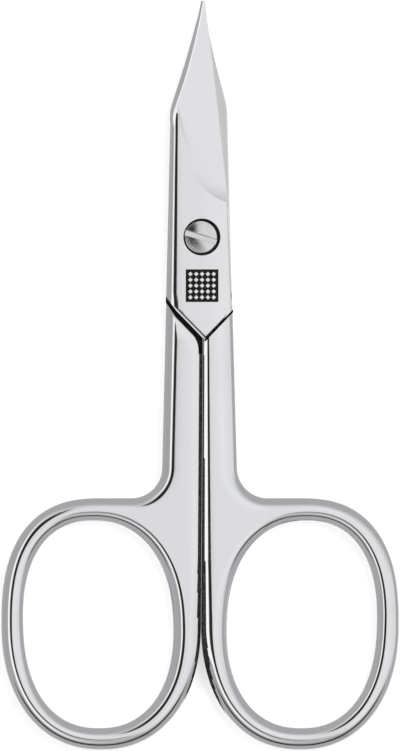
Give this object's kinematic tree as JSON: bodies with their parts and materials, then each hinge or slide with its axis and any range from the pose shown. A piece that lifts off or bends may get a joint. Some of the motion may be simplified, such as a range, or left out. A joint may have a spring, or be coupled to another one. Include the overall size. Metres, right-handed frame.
{
  "type": "nail scissors",
  "caption": "Slim polished steel nail scissors with narrow pointed blades, a lapped box joint on a slotted screw and two oval finger rings.",
  "frame": {"origin": "middle of the underside of the closed scissors' box, lying flat", "axes": "+Y along the scissors towards the tip, +X towards the front half's finger ring, +Z out of the front half's face along the pivot screw"},
  "size_m": [0.0478, 0.09, 0.003],
  "materials": {
    "polished_steel": "polished stainless steel, mirror bright on the rounded edges and finely satin on the flats",
    "turned_steel": "turned steel with fine concentric tool marks"
  },
  "bodies": {
    "rear_body": {"rear_half": "polished_steel", "pivot_screw": "turned_steel"},
    "front_body": {"front_half": "polished_steel"}
  },
  "joints": [
    {"name": "blade_pivot", "type": "hinge", "parent": "rear_body", "child": "front_body", "pos_m": [0.0001, 0.0166, 0.0015], "axis": [0, 0, 1], "range_deg": [0, 60]}
  ]
}
